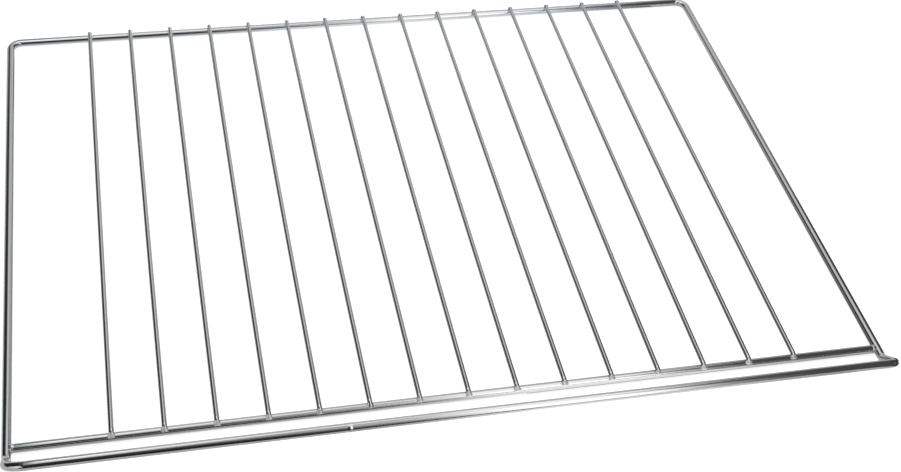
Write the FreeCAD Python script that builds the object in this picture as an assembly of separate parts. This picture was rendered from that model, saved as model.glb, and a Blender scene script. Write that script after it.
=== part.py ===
import FreeCAD, Part
import math
import os

from FreeCAD import Vector

# Oven shelf rack welded from bright plated steel wire, in millimetres.
# +X runs along the front rail, +Y to the rear and +Z up.
# The frame rests on z = 0, and the origin is below the middle of the rack.

# Wire stock
frame_wire = 4.5            # diameter of the frame loop and of the front cross rail
shelf_wire = 2.5            # diameter of the shelf wires

# Shelf wires, across the rack
shelf_wire_count = 15
shelf_pitch = 24.9          # between the centres of neighbouring shelf wires
side_bay = 48.45            # from an outer shelf wire's centre to the side wire's centre

# Rails, front to rear
rail_span = 323.0           # from the cross rail's centre to the rear rail's centre
lip_start = 7.0             # from the cross rail's centre to the corner where the sides turn up
lip_reach = 12.0            # from that corner to the front rail's centre, measured level
lip_rise = 10.0             # height of the front rail's centre above the rest of the frame

# Bends, as radii of the wire's centre line
rear_corner_bend = 9.0
lip_bend = 7.0
front_corner_bend = 6.0

# Welds
weld_set_down = 0.3         # how deep a shelf wire sinks into the rails that carry it
cross_rail_set_in = 0.9     # how deep the cross rail's ends sink into the side wires
butt_weld_offset = -62.0    # of the frame loop's own weld, from the middle of the front rail
bead_width = 2.2            # of the upset metal round a butt weld, along the wire
bead_height = 0.3           # of that metal above the wire
nose_width = 3.5            # shelf wire's squashed front end, across
nose_height = 1.8           # and upright
nose_length = 2.4           # flat stretch, measured from the end
nose_taper = 1.0            # from the flat stretch back to the round wire
nose_bevel = 0.5            # on the edge of the squashed end
front_overhang = 2.8        # of the shelf wires past the cross rail's centre
rear_overhang = 0.6         # of the shelf wires past the rear rail's centre

# Worked out from the sizes above
frame_radius = frame_wire / 2
shelf_radius = shelf_wire / 2
side_x = (shelf_wire_count - 1) / 2 * shelf_pitch + side_bay
rear_y = (rail_span + lip_start + lip_reach) / 2
cross_y = rear_y - rail_span
turn_y = cross_y - lip_start
front_y = turn_y - lip_reach
frame_z = frame_radius
lip_z = frame_z + lip_rise
shelf_underside = frame_wire - weld_set_down

along_x = Vector(1, 0, 0)
along_y = Vector(0, 1, 0)


def rounded_path(points, radii):
    """Straight runs through the points, with a tangent arc at each inner one."""
    edges = []
    run_start = points[0]
    for before, corner, after, radius in zip(points, points[1:], points[2:], radii):
        back = (before - corner).normalize()
        ahead = (after - corner).normalize()
        half_angle = back.getAngle(ahead) / 2
        tangent = radius / math.tan(half_angle)
        inward = (back + ahead).normalize()
        arc_start = corner + back * tangent
        arc_middle = corner + inward * (radius / math.sin(half_angle) - radius)
        arc_end = corner + ahead * tangent
        edges.append(Part.makeLine(run_start, arc_start))
        edges.append(Part.Arc(arc_start, arc_middle, arc_end).toShape())
        run_start = arc_end
    edges.append(Part.makeLine(run_start, points[-1]))
    return Part.Wire(edges)


def revolved(profile, axis):
    """Solid turned from a closed profile of points about an axis through the origin."""
    return Part.Face(Part.makePolygon(profile + profile[:1])).revolve(Vector(), axis, 360)


def weld_bead(centre):
    """Ring of upset metal round a frame wire that runs along X."""
    half = bead_width / 2
    crown = frame_radius + bead_height
    ring = revolved([
        Vector(-half, 0, 0),
        Vector(-half, 0, frame_radius),
        Vector(-half / 2, 0, crown),
        Vector(half / 2, 0, crown),
        Vector(half, 0, frame_radius),
        Vector(half, 0, 0),
    ], along_x)
    ring.translate(centre)
    return ring


def frame_loop():
    """Closed loop: one half swept along its bends, mirrored, and its butt weld."""
    corners = [
        Vector(0, front_y, lip_z),
        Vector(side_x, front_y, lip_z),
        Vector(side_x, turn_y, frame_z),
        Vector(side_x, rear_y, frame_z),
        Vector(0, rear_y, frame_z),
    ]
    path = rounded_path(corners, [front_corner_bend, lip_bend, rear_corner_bend])
    section = Part.Wire(Part.makeCircle(frame_radius, corners[0], along_x))
    half = path.makePipe(Part.Face(section))
    bead = weld_bead(Vector(butt_weld_offset, front_y, lip_z))
    return half.fuse([half.mirror(Vector(), along_x), bead]).removeSplitter()


def front_cross_rail(loop):
    """Straight rail whose square ends are upset against the side wires and seat in them."""
    end_x = side_x - frame_radius + cross_rail_set_in
    rail = Part.makeCylinder(frame_radius, 2 * end_x, Vector(-end_x, cross_y, frame_z), along_x)
    bead_x = end_x - bead_width / 2
    beads = [weld_bead(Vector(x, cross_y, frame_z)) for x in (-bead_x, bead_x)]
    below = Part.makeBox(4 * side_x, frame_wire * 2, frame_wire)
    below.translate(Vector(-2 * side_x, cross_y - frame_wire, -frame_wire))
    return rail.fuse(beads).cut([loop, below]).removeSplitter()


def shelf_wire_at(x, carriers):
    """Round wire with a squashed front end, saddled on the rails that carry it."""
    shank_length = rail_span + front_overhang + rear_overhang
    taper_start = nose_length
    taper_end = nose_length + nose_taper
    shank = Part.makeCylinder(shelf_radius, shank_length, Vector(0, 0, shelf_radius), along_y)

    # The electrode presses the wire's top flat, with a ramp up to the round wire.
    press = Part.Face(Part.makePolygon([
        Vector(-shelf_wire, 0, nose_height),
        Vector(-shelf_wire, taper_start, nose_height),
        Vector(-shelf_wire, taper_end, shelf_wire),
        Vector(-shelf_wire, 0, shelf_wire),
        Vector(-shelf_wire, 0, nose_height),
    ])).extrude(along_x * 2 * shelf_wire)

    # The metal it pushes aside bulges out on both sides.
    bulge_radius = nose_width / 2
    bulge = revolved([
        Vector(0, 0, 0),
        Vector(0, 0, bulge_radius - nose_bevel),
        Vector(0, nose_bevel, bulge_radius),
        Vector(0, taper_start, bulge_radius),
        Vector(0, taper_end, shelf_radius),
        Vector(0, taper_end, 0),
    ], along_y)
    bulge.translate(Vector(0, 0, nose_height / 2))
    slab = Part.makeBox(nose_width, taper_end, nose_height, Vector(-nose_width / 2, 0, 0))

    wire = shank.cut(press).fuse(bulge.common(slab)).removeSplitter()
    wire.translate(Vector(x, cross_y - front_overhang, shelf_underside))
    return wire.cut(carriers)


def main():
    os.makedirs("parts", exist_ok=True)
    loop = frame_loop()
    rail = front_cross_rail(loop)
    solids = {"frame_loop": loop, "front_cross_rail": rail}
    for index in range(shelf_wire_count):
        x = (index - (shelf_wire_count - 1) / 2) * shelf_pitch
        solids["shelf_wire_%02d" % (index + 1)] = shelf_wire_at(x, [loop, rail])
    for name, solid in solids.items():
        solid.exportStep("parts/%s.step" % name)
        print(name, len(solid.Solids), solid.isValid(), round(solid.Volume, 2))


main()
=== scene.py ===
import math

import bmesh
import bpy
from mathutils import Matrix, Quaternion, Vector, noise


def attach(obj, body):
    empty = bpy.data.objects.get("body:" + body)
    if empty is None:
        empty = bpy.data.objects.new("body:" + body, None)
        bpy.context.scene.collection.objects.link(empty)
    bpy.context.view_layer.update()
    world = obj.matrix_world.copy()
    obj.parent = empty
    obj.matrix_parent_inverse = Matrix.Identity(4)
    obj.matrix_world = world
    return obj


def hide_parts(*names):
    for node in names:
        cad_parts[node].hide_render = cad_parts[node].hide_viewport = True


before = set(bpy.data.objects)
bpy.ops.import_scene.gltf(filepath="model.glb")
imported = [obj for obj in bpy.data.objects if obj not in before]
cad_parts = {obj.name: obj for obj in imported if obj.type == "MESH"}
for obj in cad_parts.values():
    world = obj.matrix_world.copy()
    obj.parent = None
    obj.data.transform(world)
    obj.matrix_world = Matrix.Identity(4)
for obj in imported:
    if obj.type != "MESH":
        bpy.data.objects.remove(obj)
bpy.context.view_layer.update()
print("frame loaded:", len(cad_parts), "nodes")

mm = 0.001  # every size below is in millimetres

# Camera, fitted to the wires' lines in the photograph
view = {
    "place": (-145.098, -603.645, 555.939), "aim": (15.200, -36.941, 2.250), "rollDeg": 5.649,
    "lens": 57.921, "sensor": 36.0,
}

cameraData = bpy.data.cameras.new("camera")
cameraData.sensor_width = view["sensor"]
cameraData.lens = view["lens"]
camera = bpy.data.objects.new("camera", cameraData)
bpy.context.scene.collection.objects.link(camera)
camera.location = Vector(view["place"]) * mm
sight = Vector(view["aim"]) - Vector(view["place"])
roll = Quaternion((0, 0, 1), math.radians(view["rollDeg"]))
camera.rotation_mode = "QUATERNION"
camera.rotation_quaternion = sight.to_track_quat("-Z", "Y") @ roll
bpy.context.scene.camera = camera
bpy.context.scene.view_settings.view_transform = "Standard"
print("camera placed")


def hexColour(code):
    parts = [int(code[i:i + 2], 16) / 255 for i in (1, 3, 5)]  # sRGB, turned to linear below
    return [c / 12.92 if c <= 0.04045 else ((c + 0.055) / 1.055) ** 2.4 for c in parts] + [1.0]


def addNode(tree, kind, inputs=None, **settings):
    node = tree.nodes.new(kind)
    for name, value in settings.items():
        setattr(node, name, value)
    for name, value in (inputs or {}).items():  # an input takes a number, a colour or another node's output
        if isinstance(value, bpy.types.NodeSocket):
            tree.links.new(value, node.inputs[name])
        else:
            node.inputs[name].default_value = value
    return node


def blankTree(owner):
    owner.use_nodes = True
    owner.node_tree.nodes.clear()
    return owner.node_tree


# Steel wire, cold drawn, welded and then bright plated: a mirror with a faint grain along the wire,
# slightly uneven where the plating is thicker, and satin where it covers weld metal.
plating = {
    "bright": "#C3C4C6", "warm": "#C3C0C0", "welded": "#E6E7E8",
    "roughness": 0.13, "weldRoughness": 0.46,
    "lineSpacing": 0.55, "lineLength": 70.0,  # drawn coarse: real lines, under 0.1 mm apart, wouldn't show
    "lineHeight": 0.002, "lineDulls": 0.03,  # roughness goes up and down by this from line to line
    "patchSize": 9.0, "patchLength": 60.0, "patchDulls": (-0.02, 0.03),
    "weldGrain": 0.7, "weldGrainHeight": 0.03,
    "noiseRange": (0.3, 0.7),  # most values of a noise texture lie in it
}


def brightPlatedDrawnSteel():
    material = bpy.data.materials.new("brightPlatedDrawnSteel")
    tree = blankTree(material)
    # where a point is, round and along its wire in millimetres, and its share of weld metal
    place = addNode(tree, "ShaderNodeAttribute", attribute_name="wirePlace").outputs["Vector"]
    weld = addNode(tree, "ShaderNodeAttribute", attribute_name="weldMetal").outputs["Fac"]

    roundLines, alongLines = 1 / plating["lineSpacing"], 1 / plating["lineLength"]
    lineSpace = addNode(tree, "ShaderNodeVectorMath",
                        {0: place, 1: (roundLines, roundLines, alongLines)}, operation="MULTIPLY")
    lines = addNode(tree, "ShaderNodeTexNoise",
                    {"Vector": lineSpace.outputs[0], "Scale": 1.0, "Detail": 2.0}).outputs["Fac"]

    roundPatch, alongPatch = 1 / plating["patchSize"], 1 / plating["patchLength"]
    patchSpace = addNode(tree, "ShaderNodeVectorMath",
                         {0: place, 1: (roundPatch, roundPatch, alongPatch)}, operation="MULTIPLY")
    patches = addNode(tree, "ShaderNodeTexNoise",
                      {"Vector": patchSpace.outputs[0], "Scale": 1.0, "Detail": 3.0}).outputs["Fac"]

    grain = addNode(tree, "ShaderNodeTexNoise",
                    {"Vector": place, "Scale": 1 / plating["weldGrain"], "Detail": 3.0}).outputs["Fac"]

    bright, warm, welded = (hexColour(plating[name]) for name in ("bright", "warm", "welded"))
    tone = addNode(tree, "ShaderNodeMix", {0: patches, 6: bright, 7: warm}, data_type="RGBA")
    colour = addNode(tree, "ShaderNodeMix", {0: weld, 6: tone.outputs[2], 7: welded}, data_type="RGBA")

    low, high = plating["noiseRange"]
    lineRough = addNode(tree, "ShaderNodeMapRange", {
        "Value": lines, "From Min": low, "From Max": high,
        "To Min": plating["roughness"] - plating["lineDulls"],
        "To Max": plating["roughness"] + plating["lineDulls"]})
    patchRough = addNode(tree, "ShaderNodeMapRange", {
        "Value": patches, "From Min": low, "From Max": high,
        "To Min": plating["patchDulls"][0], "To Max": plating["patchDulls"][1]})
    plain = addNode(tree, "ShaderNodeMath",
                    {0: lineRough.outputs[0], 1: patchRough.outputs[0]}, operation="ADD")
    rough = addNode(tree, "ShaderNodeMix",
                    {0: weld, 2: plain.outputs[0], 3: plating["weldRoughness"]}, data_type="FLOAT")

    lineBump = addNode(tree, "ShaderNodeBump", {
        "Height": lines, "Strength": 1.0, "Distance": plating["lineHeight"] * mm})
    weldHeight = addNode(tree, "ShaderNodeMath", {0: grain, 1: weld}, operation="MULTIPLY")
    bump = addNode(tree, "ShaderNodeBump", {
        "Height": weldHeight.outputs[0], "Strength": 1.0, "Distance": plating["weldGrainHeight"] * mm,
        "Normal": lineBump.outputs[0]})

    shader = addNode(tree, "ShaderNodeBsdfPrincipled", {
        "Base Color": colour.outputs[2], "Metallic": 1.0, "Roughness": rough.outputs[0],
        "Normal": bump.outputs[0]})
    addNode(tree, "ShaderNodeOutputMaterial", {"Surface": shader.outputs[0]})
    return material


platedSteel = brightPlatedDrawnSteel()
print("material made:", platedSteel.name)


# What all the wires share. Weld metal is never quite round, so it has small lumps.
wires = {"creaseDeg": 50.0, "lumpsPerMm": 0.9, "lumpHeight": 0.10}


def station(centre, side, up, wide, tall, along, weld=0.0, square=2.0):
    # one section of a wire: half its width and height, how far along it is, its share of weld metal
    # and how square it is, where 2 is an ellipse
    return {"centre": Vector(centre), "side": Vector(side), "up": Vector(up), "wide": wide, "tall": tall,
            "along": along, "weld": weld, "square": square}


def sweepWire(mesh, stations, sides, closed=False):
    layers = wireLayers(mesh)
    rings = []
    for at in stations:
        ring = []
        for k in range(sides):
            turn = 2 * math.pi * k / sides
            c, s = math.cos(turn), math.sin(turn)
            power = 2 / at["square"]
            across = math.copysign(abs(c) ** power, c) * at["wide"]
            high = math.copysign(abs(s) ** power, s) * at["tall"]
            spot = at["centre"] + at["side"] * across + at["up"] * high
            if at["weld"] > 0:
                lump = noise.noise(spot * wires["lumpsPerMm"]) * wires["lumpHeight"] * at["weld"]
                spot += (at["side"] * c + at["up"] * s) * lump
            vert = mesh.verts.new(spot * mm)
            vert[layers["place"]] = Vector((c * at["wide"], s * at["tall"], at["along"]))
            vert[layers["weld"]] = at["weld"]
            ring.append(vert)
        rings.append(ring)
    pairs = list(zip(rings, rings[1:])) + ([(rings[-1], rings[0])] if closed else [])
    for first, second in pairs:
        for k in range(sides):
            n = (k + 1) % sides
            mesh.faces.new((first[k], first[n], second[n], second[k]))
    if not closed:
        mesh.faces.new(rings[0])
        mesh.faces.new(list(reversed(rings[-1])))


def wireLayers(mesh):
    verts = mesh.verts.layers
    return {"place": verts.float_vector.get("wirePlace") or verts.float_vector.new("wirePlace"),
            "weld": verts.float.get("weldMetal") or verts.float.new("weldMetal")}


def wirePiece(name, mesh, node):
    bmesh.ops.recalc_face_normals(mesh, faces=mesh.faces[:])
    data = bpy.data.meshes.new(name)
    mesh.to_mesh(data)
    mesh.free()
    data.polygons.foreach_set("use_smooth", [True] * len(data.polygons))
    data.set_sharp_from_angle(angle=math.radians(wires["creaseDeg"]))
    data.materials.append(platedSteel)
    piece = bpy.data.objects.new(name, data)
    bpy.context.scene.collection.objects.link(piece)
    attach(piece, "root")
    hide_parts(node)


def hump(distance, width):
    # 1 in the middle of a bead, falling smoothly to 0 at its edges
    return 0.5 + 0.5 * math.cos(2 * math.pi * distance / width) if abs(distance) < width / 2 else 0.0


def smooth(share):
    # eases from 0 to 1 as the share does
    share = min(1.0, max(0.0, share))
    return share * share * (3 - 2 * share)


# Frame loop: one bent wire that runs round the rack, with the ring of its butt weld in the front rail
loop = {
    "wire": 4.5, "sideX": 222.75, "rearY": 171.0, "turnY": -159.0, "frontY": -171.0,
    "frameZ": 2.25, "lipZ": 12.25,
    "frontBends": (4.0, 9.5),  # right and left: the right corner is bent tighter
    "lipBend": 7.0, "rearBend": 7.0, "bendStepDeg": 4.0, "bendSteps": 6,  # the last is the fewest in a bend
    "weldX": -63.0, "beadWidth": 2.4, "beadHeight": 0.14, "beadWeld": 0.3, "beadSteps": 16,
    "sides": 40, "step": 5.0,
}


def loopLine():
    x, rear, turn, front = loop["sideX"], loop["rearY"], loop["turnY"], loop["frontY"]
    low, lip = loop["frameZ"], loop["lipZ"]
    rightBend, leftBend = loop["frontBends"]
    lipBend, rearBend = loop["lipBend"], loop["rearBend"]
    corners = [
        ((x, front, lip), rightBend), ((x, turn, low), lipBend), ((x, rear, low), rearBend),
        ((-x, rear, low), rearBend), ((-x, turn, low), lipBend), ((-x, front, lip), leftBend),
    ]
    bends = []
    for i, (corner, radius) in enumerate(corners):
        corner = Vector(corner)
        back = (Vector(corners[i - 1][0]) - corner).normalized()
        ahead = (Vector(corners[(i + 1) % len(corners)][0]) - corner).normalized()
        half = back.angle(ahead) / 2
        middle = corner + (back + ahead).normalized() * radius / math.sin(half)
        start = corner + back * radius / math.tan(half)
        axis = back.cross(ahead).normalized()
        sweep = math.pi - 2 * half
        turns = max(loop["bendSteps"], round(sweep / math.radians(loop["bendStepDeg"])))
        spokes = [Quaternion(axis, -sweep * k / turns) @ (start - middle) for k in range(turns + 1)]
        bends.append([middle + spoke for spoke in spokes])
    points = []
    for i, bend in enumerate(bends):
        points += bend
        start, end = bend[-1], bends[(i + 1) % len(bends)][0]
        cuts = max(1, round((end - start).length / loop["step"]))
        run = [start.lerp(end, k / cuts) for k in range(1, cuts)]
        if i == len(bends) - 1:  # the front rail, where the butt weld needs closer sections
            weldX, width, steps = loop["weldX"], loop["beadWidth"], loop["beadSteps"]
            run = [p for p in run if abs(p.x - weldX) > width]
            close = [weldX + width * k / steps for k in range(2 - steps, steps - 1)]
            run += [Vector((spot, start.y, start.z)) for spot in close]
            run.sort(key=lambda p: p.x)
        points += run
    return points


def frameLoop():
    line = loopLine()
    count = len(line)
    tangents = [(line[(i + 1) % count] - line[i - 1]).normalized() for i in range(count)]
    sides = [(Vector((0, 1, 0)) - tangents[0] * tangents[0].y).normalized()]
    along = [0.0]
    for i in range(1, count + 1):  # carries the section round the loop and back to its start
        sides.append(tangents[i - 1].rotation_difference(tangents[i % count]) @ sides[-1])
        along.append(along[-1] + (line[i % count] - line[i - 1]).length)
    twist = math.atan2(tangents[0].dot(sides[-1].cross(sides[0])), sides[-1].dot(sides[0]))

    stations = []
    for i, tangent in enumerate(tangents):
        side = Quaternion(tangent, twist * along[i] / along[-1]) @ sides[i]  # closes the loop untwisted
        bead = hump(line[i].x - loop["weldX"], loop["beadWidth"]) if line[i].y < loop["turnY"] else 0.0
        radius = loop["wire"] / 2 + loop["beadHeight"] * bead
        weld = loop["beadWeld"] * bead
        stations.append(station(line[i], side, tangent.cross(side), radius, radius, along[i], weld))
    mesh = bmesh.new()
    sweepWire(mesh, stations, loop["sides"], closed=True)
    wirePiece("frameLoop", mesh, "frame_loop")


frameLoop()
print("frame loop bent and welded")


# Front cross rail: straight wire between the side wires, upset where its ends are welded to them
rail = {
    "wire": 4.5, "halfLength": 221.4, "y": -152.0, "z": 2.25,
    "beadWidth": 2.2, "beadHeight": 0.12, "beadWeld": 0.5,
    "sides": 40, "step": 5.0, "endStep": 0.2, "endSteps": 26,  # closer sections at the welded ends
}


def crossRail():
    reach, half = rail["halfLength"], rail["beadWidth"] / 2
    ends = [rail["endStep"] * k for k in range(rail["endSteps"])]
    plain = reach - rail["endStep"] * rail["endSteps"]
    cuts = round(2 * plain / rail["step"])
    spots = [-reach + end for end in ends]
    spots += [-plain + 2 * plain * k / cuts for k in range(cuts + 1)]
    spots += [reach - end for end in reversed(ends)]
    stations = []
    for x in spots:
        bead = hump(reach - half - abs(x), rail["beadWidth"])
        radius = rail["wire"] / 2 + rail["beadHeight"] * bead
        weld = rail["beadWeld"] * max(bead, 1.0 if reach - abs(x) < half else 0.0)
        centre = (x, rail["y"], rail["z"])
        stations.append(station(centre, (0, 1, 0), (0, 0, 1), radius, radius, x, weld))
    mesh = bmesh.new()
    sweepWire(mesh, stations, rail["sides"])
    for vert in mesh.verts:
        vert.co.z = max(vert.co.z, 0.0)  # the bead is dressed flat below, so the rack still lies level
    wirePiece("frontCrossRail", mesh, "front_cross_rail")


crossRail()
print("front cross rail welded in")


# Shelf wires: thin wire laid on the two rails, its front end squashed by the weld, its rear end sheared off
shelf = {
    "count": 15, "pitch": 24.9, "wire": 2.5, "underside": 4.2, "bow": 0.40, "sides": 28, "step": 6.0,
    # squashed end, from its tip back to the round wire: y, half width, top and bottom
    "nose": [
        (-153.8, 0.95, 3.95, 3.20), (-153.75, 1.40, 4.15, 3.15), (-153.5, 1.68, 4.52, 3.20),
        (-153.1, 1.76, 4.98, 3.30), (-152.7, 1.68, 5.44, 3.40), (-152.3, 1.50, 5.88, 3.70),
        (-151.9, 1.32, 6.25, 4.00), (-151.4, 1.25, 6.53, 4.20), (-150.6, 1.25, 6.68, 4.20),
        (-149.8, 1.25, 6.70, 4.20),
    ],
    "noseRounds": 2, "noseSquare": 1.8, "noseVaries": 0.5, "weldStart": -151.8, "weldFade": 0.9,
    "smoothNose": 5, "smoothSatin": 0.1,  # one weld kept its bright skin
    # rear end: wires to the left of longerFrom are cut longer, and those right of knobFrom are upset more
    "rearY": 171.6, "longer": 0.9, "longerFrom": 8, "longerOver": 3, "shearBevel": 0.45,
    "knob": 0.28, "knobLong": 3.4, "knobBack": 0.9, "knobFrom": 4, "knobOver": 4,
    "rearSatin": 0.2, "rearSatinLong": 4.5, "rearSatinFade": 2.5,
    "rearFine": 3.0, "rearSteps": (2.6, 2.2, 1.8, 1.4, 1.0, 0.7, 0.25, 0.1, 0.0),  # sections near the end
    # metal squeezed out at the front and rear weld: half sizes, places and how much they vary
    "flashWide": 2.2, "flashLong": 1.3, "flashTall": 0.55, "flashScale": (1.0, 0.8), "flashVaries": 0.15,
    "crossings": (-152.5, 170.8), "flashZ": (4.05, 4.35), "flashLumps": 1.7, "flashLump": 0.22,
    "rearSeed": 40,
}


def weldFlash(mesh, x, y, z, scale, seed):
    layers = wireLayers(mesh)
    made = bmesh.ops.create_icosphere(mesh, subdivisions=4, radius=1.0)["verts"]
    drift = Vector((seed * 3.1, y, 0))  # another stretch of the noise for each weld
    for vert in made:
        lump = 1 + shelf["flashLump"] * noise.noise(vert.co * shelf["flashLumps"] + drift)
        spot = Vector((x + vert.co.x * shelf["flashWide"] * scale * lump,
                       y + vert.co.y * shelf["flashLong"] * scale * lump,
                       z + vert.co.z * shelf["flashTall"] * lump))
        vert.co = spot * mm
        vert[layers["place"]] = spot
        vert[layers["weld"]] = 1.0


def roundedProfile(rows, rounds):
    for _ in range(rounds):  # each round cuts the profile's corners, which leaves a smooth curve
        cut = [rows[0]]
        for one, two in zip(rows, rows[1:]):
            cut += [tuple(a + (b - a) * share for a, b in zip(one, two)) for share in (0.25, 0.75)]
        rows = cut + [rows[-1]]
    return rows


def shelfWire(index):
    x = (index - (shelf["count"] - 1) / 2) * shelf["pitch"]
    radius, bevel = shelf["wire"] / 2, shelf["shearBevel"]
    rear = shelf["rearY"] + shelf["longer"] * smooth((shelf["longerFrom"] - index) / shelf["longerOver"])
    upset = smooth((index - shelf["knobFrom"]) / shelf["knobOver"])
    satin = shelf["smoothSatin"] if index == shelf["smoothNose"] else 1.0
    wander = [noise.noise(Vector((index * 1.7 + 0.3, 5.1, k * 2.3))) for k in range(3)]  # no two wires alike

    rows = roundedProfile(shelf["nose"], shelf["noseRounds"])
    front, start = rows[0][0], rows[-1][0]
    plain = rear - shelf["rearFine"] - start
    cuts = round(plain / shelf["step"])
    spots = [start + plain * k / cuts for k in range(1, cuts + 1)]
    spots += [rear - left for left in sorted((*shelf["rearSteps"], bevel), reverse=True)]
    rows += [(y, radius, shelf["underside"] + shelf["wire"], shelf["underside"]) for y in spots]

    stations = []
    for y, wide, top, bottom in rows:
        tall = (top - bottom) / 2
        if wide > radius:
            wide = radius + (wide - radius) * (1 + shelf["noseVaries"] * wander[0])
        left = rear - y
        knob = shelf["knob"] * hump(left - shelf["knobBack"], shelf["knobLong"]) * upset
        wide, tall = wide + knob, tall + knob
        if left < bevel:  # the shear drags the rear edge round
            pull = bevel - math.sqrt(bevel ** 2 - (bevel - left) ** 2)
            wide, tall = wide - pull, tall - pull
        run = (y - front) / (rear - front)
        bow = shelf["bow"] * math.sin(math.pi * run) * wander[1]  # straightened wire is never dead straight
        squashed = smooth((shelf["weldStart"] - y) / shelf["weldFade"])
        nearRear = smooth((y - rear + shelf["rearSatinLong"]) / shelf["rearSatinFade"])
        weld = max(satin * squashed, shelf["rearSatin"] * nearRear)
        square = 2 + (shelf["noseSquare"] - 2) * squashed
        centre = (x + bow, y, (top + bottom) / 2)
        stations.append(station(centre, (1, 0, 0), (0, 0, 1), wide, tall, y, weld, square))
    mesh = bmesh.new()
    sweepWire(mesh, stations, shelf["sides"])
    for end, draw, seed in ((0, wander[2], index), (1, wander[0], index + shelf["rearSeed"])):
        scale = shelf["flashScale"][end] + shelf["flashVaries"] * draw
        weldFlash(mesh, x, shelf["crossings"][end], shelf["flashZ"][end], scale, seed)
    wirePiece("shelfWire%02d" % (index + 1), mesh, "shelf_wire_%02d" % (index + 1))


for index in range(shelf["count"]):
    shelfWire(index)
print("shelf wires laid and welded:", shelf["count"])


# Stage: pale floor, white surround and soft light overhead
stage = {
    "floorHalf": 6000.0, "floorZ": -0.05,
    "floorColour": "#B4B4B4", "floorGlow": 0.78, "floorMirrored": 0.40,
    "white": "#FFFFFF", "surround": 1.0, "surroundMirrored": 0.78, "fill": 0.45,
    "lampHeight": 700.0, "lampSize": (780.0, 660.0), "lampRadiance": 1.9,
}

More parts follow.
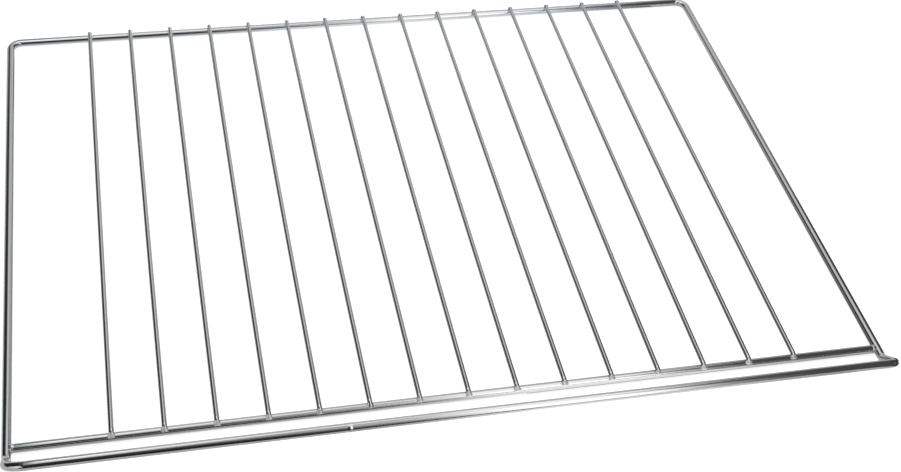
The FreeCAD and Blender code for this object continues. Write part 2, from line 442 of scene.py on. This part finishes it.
# Painted reflections: glowing cards that only the bright wire mirrors and that light nothing, in place of the
# lit and unlit studio round it: each card's colour and faces, with x, y and z of each corner and the radiance
# there
cards = {
    # uneven face of the soft box overhead
    "softBoxFace": ("#FFFFFF", [
        [(-360, -420, 705, 1.2), (-170, -420, 705, 0.4), (-170, 0, 705, 1.3), (-360, 0, 705, 2.2)],
        [(-170, -420, 705, 0.4), (80, -420, 705, 0.9), (80, 0, 705, 0.6), (-170, 0, 705, 1.3)],
        [(-360, 0, 705, 2.2), (-170, 0, 705, 1.3), (-170, 330, 705, 2.0), (-360, 330, 705, 2.2)],
        [(-170, 0, 705, 1.3), (80, 0, 705, 0.6), (80, 330, 705, 1.9), (-170, 330, 705, 2.0)],
        [(80, -420, 705, 0.9), (150, -420, 705, 1.5), (150, 0, 705, 1.7), (80, 0, 705, 0.6)],
        [(80, 0, 705, 0.6), (150, 0, 705, 1.7), (150, 330, 705, 1.7), (80, 330, 705, 1.9)],
        [(150, -420, 705, 1.5), (320, -420, 705, 1.7), (350, 330, 705, 1.6), (150, 330, 705, 1.7)],
    ]),
    # painted light: glowing strip that runs forward from it and down to the floor, and whitens the middle of
    # the rails
    "whiteStrip": ("#FFFFFF", [
        [(-180, -420, 703, 0.10), (70, -420, 703, 0.8), (400, -2400, 703, 0.15), (250, -2400, 703, 0.03)],
        [(70, -420, 703, 0.8), (190, -420, 703, 2.3), (510, -2400, 703, 2.0), (400, -2400, 703, 0.15)],
        [(190, -420, 705, 2.2), (320, -420, 705, 1.9), (890, -2400, 705, 2.1), (510, -2400, 705, 2.1)],
        [(250, -2400, 705, 0.03), (400, -2400, 705, 0.15), (400, -2400, 0, 0.15), (250, -2400, 0, 0.03)],
        [(400, -2400, 705, 0.15), (510, -2400, 705, 2.0), (510, -2400, 0, 2.0), (400, -2400, 0, 0.15)],
        [(510, -2400, 705, 2.1), (890, -2400, 705, 2.1), (890, -2400, 0, 2.1), (510, -2400, 0, 2.1)],
    ]),
    # painted reflection of the table below the front rail and the cross rail: painted sheen, strongest in the
    # middle and next to the cross rail, fading to painted shade at both ends
    "paintedTableFrontReflection": ("#FFFFFF", [
        [(-220, -172, 0, 0.4), (-60, -172, 0, 0.25), (-60, -158, 0, 0.6), (-220, -158, 0, 0.45)],
        [(-220, -158, 0, 0.45), (-60, -158, 0, 0.6), (-60, -153, 0, 1.3), (-220, -153, 0, 0.9)],
        [(-60, -209, 0, 0.5), (30, -209, 0, 1.2), (30, -158, 0, 1.2), (-60, -158, 0, 0.6)],
        [(-60, -158, 0, 0.6), (30, -158, 0, 1.2), (30, -153, 0, 1.5), (-60, -153, 0, 1.3)],
        [(30, -209, 0, 1.2), (130, -209, 0, 1.0), (130, -155, 0, 1.3), (30, -155, 0, 1.4)],
        [(130, -209, 0, 1.0), (205, -209, 0, 0.4), (205, -155, 0, 0.5), (130, -155, 0, 1.3)],
    ]),
    # painted reflection of the table below the shelf wires: dim, painted shade, dimmest at the front right
    "paintedTableMiddleReflection": ("#F2F6F7", [
        [(-220, -148, 0, 0.46), (220, -148, 0, 0.17), (220, 110, 0, 0.60), (-220, 110, 0, 0.42)],
    ]),
    # painted reflection of the table below and in front of the rear rail: painted sheen next to the rail,
    # strongest in the middle and fading at the right end, and painted shade further in front of it, most on
    # the left
    "paintedTableRearReflection": ("#EEF5FA", [
        [(-220, 110, 0, 0.3), (-115, 110, 0, 0.3), (-115, 158, 0, 0.2), (-220, 158, 0, 0.15)],
        [(-220, 158, 0, 0.15), (-115, 158, 0, 0.2), (-115, 172, 0, 1.3), (-220, 172, 0, 1.2)],
        [(-115, 110, 0, 0.3), (-50, 110, 0, 0.5), (-50, 158, 0, 0.9), (-115, 158, 0, 0.2)],
        [(-115, 158, 0, 0.2), (-50, 158, 0, 0.9), (-50, 172, 0, 1.4), (-115, 172, 0, 1.3)],
        [(-50, 110, 0, 0.5), (30, 110, 0, 0.7), (30, 172, 0, 1.5), (-50, 172, 0, 1.4)],
        [(30, 110, 0, 0.7), (130, 110, 0, 0.6), (130, 172, 0, 1.2), (30, 172, 0, 1.5)],
        [(130, 110, 0, 0.6), (200, 110, 0, 0.5), (200, 172, 0, 0.3), (130, 172, 0, 1.2)],
    ]),
    # painted shade: dark glowing sheets for the unlit room in front, left of the strip, and for the floor
    # ahead of the rack
    "darkFront": ("#DCEAEE", [
        [(-1500, -420, 700, 0.02), (-180, -420, 700, 0.08),
         (250, -2400, 700, 0.03), (-1500, -2400, 700, 0.02)],
        [(-1500, -2400, 700, 0.02), (250, -2400, 700, 0.03), (250, -2400, 0, 0.03), (-1500, -2400, 0, 0.02)],
        [(-230, -240, 0, 0.05), (-80, -196, 0, 0.05), (300, -2400, 0, 0.03), (-1500, -2400, 0, 0.02)],
        [(-80, -196, 0, 0.05), (50, -209, 0, 0.05), (410, -2400, 0, 0.10), (300, -2400, 0, 0.03)],
    ]),
    # painted light: lit panels below the ceiling on both sides, glowing, the left ones brighter
    "whiteSides": ("#FFFFFF", [
        [(-2000, -2000, 690, 1.2), (-620, -2000, 690, 1.2), (-540, -560, 690, 1.2), (-2000, -560, 690, 1.2)],
        [(1550, -2000, 690, 0.35), (2400, -2000, 690, 0.35),
         (2400, -500, 690, 0.35), (1150, -500, 690, 0.35)],
    ]),
    # painted shade of the unlit room and of the floor on the right, with painted light that falls off from
    # the soft box and the strip
    "greyRight": ("#EEF0F2", [
        [(320, -420, 700, 1.40), (410, -420, 700, 0.10), (1020, -2400, 700, 0.10), (890, -2400, 700, 1.80)],
        [(410, -420, 700, 0.10), (1020, -2400, 700, 0.10), (2400, -2400, 700, 0.06), (2400, -420, 700, 0.06)],
        [(320, -420, 700, 1.40), (410, -420, 700, 0.10), (350, -270, 700, 0.10), (255, -270, 700, 1.40)],
        [(255, -270, 700, 1.40), (350, -270, 700, 0.10), (440, 0, 700, 0.10), (350, 0, 700, 1.40)],
        [(410, -420, 700, 0.10), (2400, -420, 700, 0.06), (2400, -270, 700, 0.06), (350, -270, 700, 0.10)],
        [(350, -270, 700, 0.10), (2400, -270, 700, 0.06), (2400, 0, 700, 0.06), (440, 0, 700, 0.10)],
        [(350, 0, 700, 1.40), (440, 0, 700, 0.10), (470, 450, 700, 0.15), (340, 450, 700, 1.20)],
        [(440, 0, 700, 0.10), (2400, 0, 700, 0.06), (2400, 450, 700, 0.05), (470, 450, 700, 0.15)],
        [(340, 450, 700, 1.20), (470, 450, 700, 0.15), (760, 850, 700, 0.15), (370, 850, 700, 0.80)],
        [(470, 450, 700, 0.15), (2400, 450, 700, 0.05), (2400, 850, 700, 0.04), (760, 850, 700, 0.15)],
        [(1010, 850, 700, 0.04), (2400, 850, 700, 0.04), (2400, 1900, 700, 0.06), (1420, 1900, 700, 0.10)],
        [(2400, -2400, 700, 0.04), (2400, -2400, 0, 0.04), (2400, 1900, 0, 0.06), (2400, 1900, 700, 0.06)],
        [(890, -2400, 700, 1.80), (1020, -2400, 700, 0.10), (1020, -2400, 0, 0.10), (890, -2400, 0, 1.80)],
        [(1020, -2400, 700, 0.10), (2400, -2400, 700, 0.06), (2400, -2400, 0, 0.06), (1020, -2400, 0, 0.10)],
        [(232, -205, 0, 0.10), (232, -165, 0, 0.10), (960, -140, 0, 0.10), (960, -2400, 0, 0.10)],
        [(238, -150, 0, 0.05), (232, 80, 0, 0.08), (2400, 80, 0, 0.06), (2400, -150, 0, 0.06)],
        [(232, 80, 0, 0.08), (250, 170, 0, 0.25), (2400, 850, 0, 0.06), (2400, 80, 0, 0.06)],
    ]),
    # painted light: glowing ceiling behind the rack, dimmer to the right
    "greyRear": ("#FFFFFF", [
        [(-190, 850, 700, 0.80), (370, 850, 700, 0.85), (500, 1120, 700, 0.70), (-190, 1120, 700, 0.72)],
        [(370, 850, 700, 0.85), (760, 850, 700, 0.30), (1115, 1120, 700, 0.45), (500, 1120, 700, 0.70)],
        [(760, 850, 700, 0.30), (1010, 850, 700, 0.15), (1115, 1120, 700, 0.45)],
        [(-190, 1120, 700, 0.72), (500, 1120, 700, 0.70), (500, 1900, 700, 0.55), (-190, 1900, 700, 0.55)],
        [(500, 1120, 700, 0.70), (1115, 1120, 700, 0.45), (1420, 1900, 700, 0.45), (500, 1900, 700, 0.55)],
    ]),
    # painted shade of the unlit room on the left, with painted light that grows towards the rear and the soft
    # box
    "darkLeft": ("#DCEAEE", [
        [(-2400, -420, 500, 0.02), (-450, -420, 500, 0.03), (-450, 850, 500, 0.05), (-2400, 850, 500, 0.03)],
        [(-450, -420, 500, 0.03), (-330, -420, 500, 0.03), (-330, 850, 500, 0.20), (-450, 850, 500, 0.05)],
        [(-2400, 850, 500, 0.03), (-700, 850, 500, 0.03), (-700, 1300, 500, 0.10), (-2400, 1300, 500, 0.03)],
        [(-700, 850, 500, 0.03), (-450, 850, 500, 0.05), (-450, 1300, 500, 0.40), (-700, 1300, 500, 0.10)],
        [(-450, 850, 500, 0.05), (-330, 850, 500, 0.20), (-330, 1300, 500, 0.60), (-450, 1300, 500, 0.40)],
        [(-2400, 1300, 500, 0.03), (-700, 1300, 500, 0.10),
         (-700, 2180, 500, 0.75), (-2400, 3000, 500, 0.35)],
        [(-700, 1300, 500, 0.10), (-330, 1300, 500, 0.55), (-330, 2000, 500, 0.65), (-700, 2180, 500, 0.75)],
        [(-330, -420, 500, 0.03), (-260, -420, 500, 0.50), (-260, 260, 500, 0.50), (-330, 260, 500, 0.05)],
        [(-330, 260, 500, 0.05), (-190, 300, 500, 0.65), (-190, 850, 500, 0.68), (-330, 850, 500, 0.20)],
        [(-330, 850, 500, 0.20), (-190, 850, 500, 0.68), (-190, 1300, 500, 0.70), (-330, 1300, 500, 0.60)],
        [(-2400, -420, 500, 0.02), (-2400, 3000, 500, 0.03), (-2400, 3000, 0, 0.03), (-2400, -420, 0, 0.02)],
    ]),
}


def whiteForSight(tree, mirrored):
    # 1 for what the camera sees, a share of it for reflections and clear bodies, 0 for light on matt surfaces
    rays = addNode(tree, "ShaderNodeLightPath").outputs
    bounced = addNode(tree, "ShaderNodeMath",
                      {0: rays["Is Glossy Ray"], 1: rays["Is Transmission Ray"]},
                      operation="ADD", use_clamp=True)
    share = addNode(tree, "ShaderNodeMath",
                    {0: bounced.outputs[0], 1: mirrored, 2: rays["Is Camera Ray"]},
                    operation="MULTIPLY_ADD", use_clamp=True)
    return share.outputs[0]


def stageSheet(name, material, faces):
    corners, polygons = [], []
    for face in faces:
        polygons.append(list(range(len(corners), len(corners) + len(face))))
        corners += [Vector(corner[:3]) * mm for corner in face]
    data = bpy.data.meshes.new(name)
    data.from_pydata(corners, [], polygons)
    data.materials.append(material)
    sheet = bpy.data.objects.new(name, data)
    bpy.context.scene.collection.objects.link(sheet)
    return sheet


def matteFloor():
    # painted board, matt: it takes the wires' soft shadows, and its own glow keeps it white to the camera
    material = bpy.data.materials.new("matteWhiteFloor")
    tree = blankTree(material)
    paint = addNode(tree, "ShaderNodeBsdfDiffuse", {"Color": hexColour(stage["floorColour"])})
    seen = whiteForSight(tree, stage["floorMirrored"])
    strength = addNode(tree, "ShaderNodeMath", {0: seen, 1: stage["floorGlow"]}, operation="MULTIPLY")
    glow = addNode(tree, "ShaderNodeEmission", {"Strength": strength.outputs[0]})
    both = addNode(tree, "ShaderNodeAddShader", {0: paint.outputs[0], 1: glow.outputs[0]})
    addNode(tree, "ShaderNodeOutputMaterial", {"Surface": both.outputs[0]})
    half, z = stage["floorHalf"], stage["floorZ"]
    stageSheet("floor", material, [[(-half, -half, z), (half, -half, z), (half, half, z), (-half, half, z)]])


def studioCard(name, colour, faces):
    material = bpy.data.materials.new(name)
    tree = blankTree(material)
    radiance = addNode(tree, "ShaderNodeAttribute", attribute_name="radiance").outputs["Fac"]
    # painted reflection: the card glows with the radiance given at its corners, is seen only in the wire and
    # lights nothing
    glow = addNode(tree, "ShaderNodeEmission", {"Color": hexColour(colour), "Strength": radiance})
    addNode(tree, "ShaderNodeOutputMaterial", {"Surface": glow.outputs[0]})
    card = stageSheet(name, material, faces)
    values = card.data.attributes.new("radiance", "FLOAT", "POINT")
    values.data.foreach_set("value", [corner[3] for face in faces for corner in face])
    card.visible_camera = False
    card.visible_diffuse = False
    card.visible_shadow = False


def studioLight():
    lamp = bpy.data.lights.new("softBox", "AREA")
    lamp.shape = "RECTANGLE"
    lamp.size, lamp.size_y = (size * mm for size in stage["lampSize"])
    lamp.energy = stage["lampRadiance"] * math.pi * lamp.size * lamp.size_y
    softBox = bpy.data.objects.new("softBox", lamp)
    bpy.context.scene.collection.objects.link(softBox)
    softBox.location.z = stage["lampHeight"] * mm
    softBox.visible_glossy = False  # the wire mirrors the softBoxFace card instead

    world = bpy.data.worlds.new("studio")
    bpy.context.scene.world = world
    tree = blankTree(world)
    white = hexColour(stage["white"])
    fill = addNode(tree, "ShaderNodeBackground", {"Color": white, "Strength": stage["fill"]})
    surround = addNode(tree, "ShaderNodeBackground", {"Color": white, "Strength": stage["surround"]})
    seen = whiteForSight(tree, stage["surroundMirrored"])
    mixed = addNode(tree, "ShaderNodeMixShader", {0: seen, 1: fill.outputs[0], 2: surround.outputs[0]})
    addNode(tree, "ShaderNodeOutputWorld", {"Surface": mixed.outputs[0]})


matteFloor()
for name, (colour, faces) in cards.items():
    studioCard(name, colour, faces)
studioLight()
print("stage lit")
